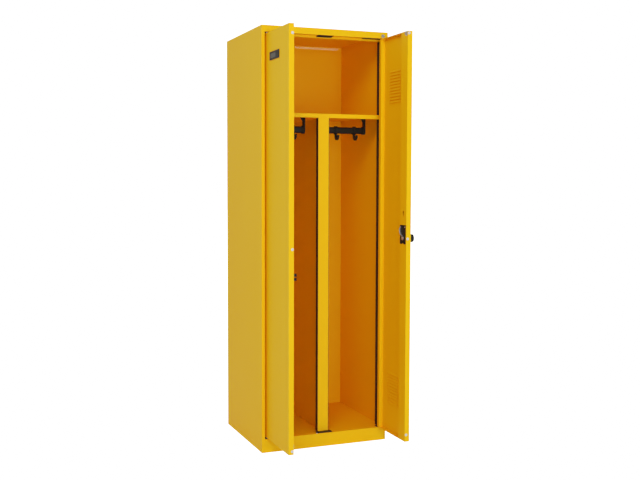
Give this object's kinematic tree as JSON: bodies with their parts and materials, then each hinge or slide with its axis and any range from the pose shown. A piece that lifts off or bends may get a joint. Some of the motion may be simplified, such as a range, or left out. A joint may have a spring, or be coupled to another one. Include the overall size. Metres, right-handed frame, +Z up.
{
  "type": "two-door wardrobe locker",
  "caption": "Tall sheet-steel locker with two doors louvred on the inside, a hat shelf over two hanging bays, coat rails with sliding hooks and a turning-knob bolt lock.",
  "frame": {"origin": "on the floor, in the middle of the foot folded back from the plinth, at the front of the carcass", "axes": "+X to the right seen from the front, +Y to the back, +Z up"},
  "size_m": [0.6014, 0.7684, 1.85],
  "materials": {
    "powder_coat": "satin powder coat, traffic yellow",
    "black_plastic": "moulded, fine texture",
    "black_seal": "extruded edge profile, matt",
    "black_steel": "black semi-gloss coat",
    "zinc": "bright zinc plate",
    "buffer_rubber": "pale grey, soft",
    "grey_plastic": "moulded, pale grey",
    "card": "clear cover over grey card, blank"
  },
  "bodies": {
    "carcass": {"left_side_panel": "powder_coat", "right_side_panel": "powder_coat", "back_panel": "powder_coat", "roof_panel": "powder_coat", "floor_pan": "powder_coat", "hat_shelf": "powder_coat", "partition": "powder_coat", "centre_post": "powder_coat", "left_stop_seals": "black_seal", "right_stop_seals": "black_seal", "centre_post_seals": "black_seal", "upper_keeper": "black_plastic", "lower_keeper": "black_plastic", "upper_pivot_plates": "black_steel", "lower_pivot_plates": "black_steel", "pivot_bushes": "black_plastic", "rail_plug": "grey_plastic", "left_coat_rail": "black_steel", "right_coat_rail": "black_steel", "left_rail_brackets": "black_plastic", "right_rail_brackets": "black_plastic", "bracket_screws": "zinc"},
    "left_hook_a": {"left_hook_outer": "black_plastic"},
    "left_hook_b": {"left_hook_inner": "black_plastic"},
    "right_hook_a": {"right_hook_inner": "black_plastic"},
    "right_hook_b": {"right_hook_outer": "black_plastic"},
    "left_door": {"left_door_skin": "powder_coat", "left_door_lining": "powder_coat", "left_hinge_stile": "powder_coat", "left_lock_stile": "powder_coat", "left_hinge_pins": "zinc", "left_door_buffers": "buffer_rubber", "left_corner_guide": "grey_plastic", "left_door_catch": "black_plastic", "label_holder": "black_plastic", "label_card": "card"},
    "right_door": {"right_door_skin": "powder_coat", "right_door_lining": "powder_coat", "right_hinge_stile": "powder_coat", "right_lock_stile": "powder_coat", "right_hinge_pins": "zinc", "right_door_buffers": "buffer_rubber", "right_corner_guide": "grey_plastic", "lock_case": "black_plastic", "lock_ring": "zinc", "lock_screws": "zinc", "bolt_guides": "grey_plastic"},
    "knob": {"lock_spindle": "zinc", "lock_cam": "zinc", "turning_knob": "black_plastic"},
    "upper_bolt_body": {"upper_bolt": "zinc"},
    "lower_bolt_body": {"lower_bolt": "zinc"}
  },
  "joints": [
    {"name": "left_door_hinge", "type": "hinge", "parent": "carcass", "child": "left_door", "pos_m": [-0.274, -0.002, 0.941], "axis": [0, 0, 1], "range_deg": [-30, 90]},
    {"name": "right_door_hinge", "type": "hinge", "parent": "carcass", "child": "right_door", "pos_m": [0.274, -0.002, 0.941], "axis": [0, 0, -1], "range_deg": [-30, 90]},
    {"name": "knob_turn", "type": "hinge", "parent": "right_door", "child": "knob", "pos_m": [0.278, -0.244, 0.942], "axis": [1, 0, 0], "range_deg": [0, 90]},
    {"name": "upper_bolt_slide", "type": "slide", "parent": "right_door", "child": "upper_bolt_body", "axis": [0, 0, 1], "range_m": [0, 0.012]},
    {"name": "lower_bolt_slide", "type": "slide", "parent": "right_door", "child": "lower_bolt_body", "axis": [0, 0, -1], "range_m": [0, 0.012]},
    {"name": "left_hook_a_slide", "type": "slide", "parent": "carcass", "child": "left_hook_a", "axis": [1, 0, 0], "range_m": [-0.03, 0.03]},
    {"name": "left_hook_b_slide", "type": "slide", "parent": "carcass", "child": "left_hook_b", "axis": [1, 0, 0], "range_m": [-0.03, 0.03]},
    {"name": "right_hook_a_slide", "type": "slide", "parent": "carcass", "child": "right_hook_a", "axis": [1, 0, 0], "range_m": [-0.03, 0.03]},
    {"name": "right_hook_b_slide", "type": "slide", "parent": "carcass", "child": "right_hook_b", "axis": [1, 0, 0], "range_m": [-0.03, 0.03]}
  ],
  "couplings": [
    {"joint": "knob_turn", "follows": "upper_bolt_slide", "rad_per_m": 130.9},
    {"joint": "lower_bolt_slide", "follows": "upper_bolt_slide", "ratio": 1}
  ]
}
